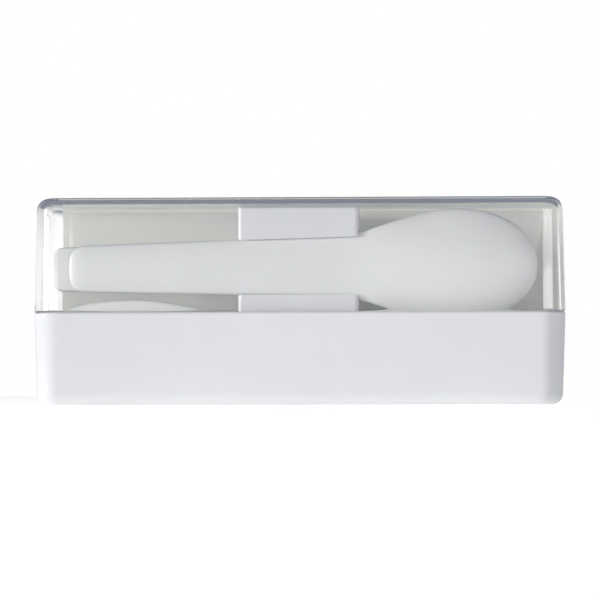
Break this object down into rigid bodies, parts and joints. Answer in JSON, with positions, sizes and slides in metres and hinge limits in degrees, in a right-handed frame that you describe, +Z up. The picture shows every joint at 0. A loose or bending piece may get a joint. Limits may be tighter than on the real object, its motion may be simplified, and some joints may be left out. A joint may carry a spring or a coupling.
{
  "type": "plastic cutlery pack",
  "caption": "Reusable cutlery set of spoon, fork and knife held in a moulded block inside a white plastic case with a clear lift-off lid.",
  "frame": {"origin": "middle of the flat face that the base stands on", "axes": "+Z up, +X along the case towards the spoon's bowl, -Y towards the viewer at the case's front"},
  "size_m": [0.19, 0.036, 0.074],
  "materials": {
    "base_plastic": "smooth white injection moulding",
    "clear_plastic": "clear polished injection moulding",
    "holder_plastic": "satin white injection moulding",
    "cutlery_plastic": "satin white injection moulding"
  },
  "bodies": {
    "base": {"base_tub": "base_plastic", "cutlery_holder": "holder_plastic", "spoon": "cutlery_plastic", "knife": "cutlery_plastic", "fork": "cutlery_plastic"},
    "lid": {"lid": "clear_plastic"}
  },
  "joints": [
    {"name": "lid_lift", "type": "slide", "parent": "base", "child": "lid", "axis": [0, 0, 1], "range_m": [0, 0.055]}
  ]
}
